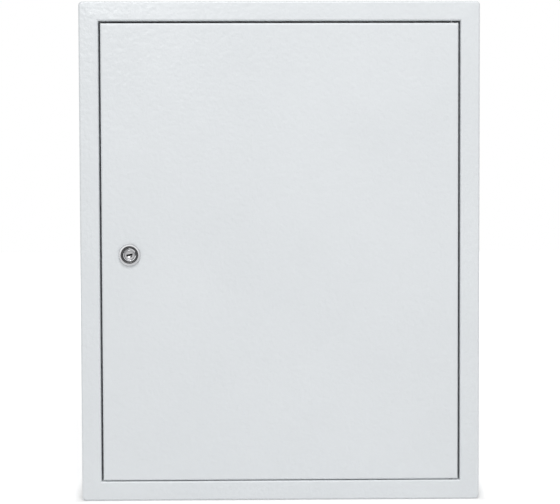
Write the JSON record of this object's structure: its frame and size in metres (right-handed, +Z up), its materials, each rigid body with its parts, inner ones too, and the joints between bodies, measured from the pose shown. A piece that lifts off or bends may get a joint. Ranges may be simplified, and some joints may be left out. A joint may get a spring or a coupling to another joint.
{
  "type": "steel wall enclosure",
  "caption": "Folded steel wall enclosure with a flush hinged door, cam lock, rain gutter and foam seal, mounting plate, blank cable entry plate and earthing studs.",
  "frame": {"origin": "middle of the rear face that lies on the wall", "axes": "+X to the right seen from the front, +Y back into the wall, +Z up; the door faces -Y"},
  "size_m": [0.4, 0.2226, 0.5],
  "materials": {
    "case_paint": "fine textured light grey powder coat",
    "door_paint": "fine textured light grey powder coat",
    "zinc_sheet": "zinc-coated sheet",
    "zinc_fastener": "bright zinc plate",
    "copper_stud": "coppered weld stud",
    "brass": "turned brass",
    "steel_pin": "turned steel with a dark phosphate finish",
    "cam_steel": "zinc-plated pressed steel",
    "chrome": "polished chrome plate on die-cast zinc",
    "foam": "closed-cell foam",
    "lock_rubber": "matt rubber"
  },
  "bodies": {
    "enclosure": {"case_shell": "case_paint", "back_panel": "case_paint", "entry_plate": "zinc_sheet", "mounting_plate": "zinc_sheet", "entry_seal": "foam", "entry_studs": "copper_stud", "plate_studs": "copper_stud", "case_earth_stud": "copper_stud", "entry_nuts": "zinc_fastener", "plate_nuts": "zinc_fastener", "plate_washers": "zinc_fastener", "plate_spacers": "zinc_fastener", "case_earth_nuts": "brass", "case_earth_washers": "brass"},
    "door": {"door_panel": "door_paint", "door_seal": "foam", "hinge_bracket_upper": "door_paint", "hinge_bracket_lower": "door_paint", "hinge_pin_upper": "steel_pin", "hinge_pin_lower": "steel_pin", "hinge_clips": "steel_pin", "door_earth_stud": "copper_stud", "door_earth_washers": "brass", "door_earth_nuts": "brass", "lock_barrel": "chrome", "lock_seal": "lock_rubber", "lock_washer": "zinc_fastener", "lock_nut": "zinc_fastener"},
    "lock": {"lock_plug": "chrome", "lock_wafers": "brass", "lock_cam": "cam_steel", "cam_washer": "zinc_fastener", "cam_screw": "zinc_fastener"}
  },
  "joints": [
    {"name": "door_hinge", "type": "hinge", "parent": "enclosure", "child": "door", "pos_m": [0.172, -0.215, 0], "axis": [0, 0, 1], "range_deg": [0, 120]},
    {"name": "lock_turn", "type": "hinge", "parent": "door", "child": "lock", "pos_m": [-0.1506, -0.22, -0.0022], "axis": [0, 1, 0], "range_deg": [0, 90]}
  ]
}
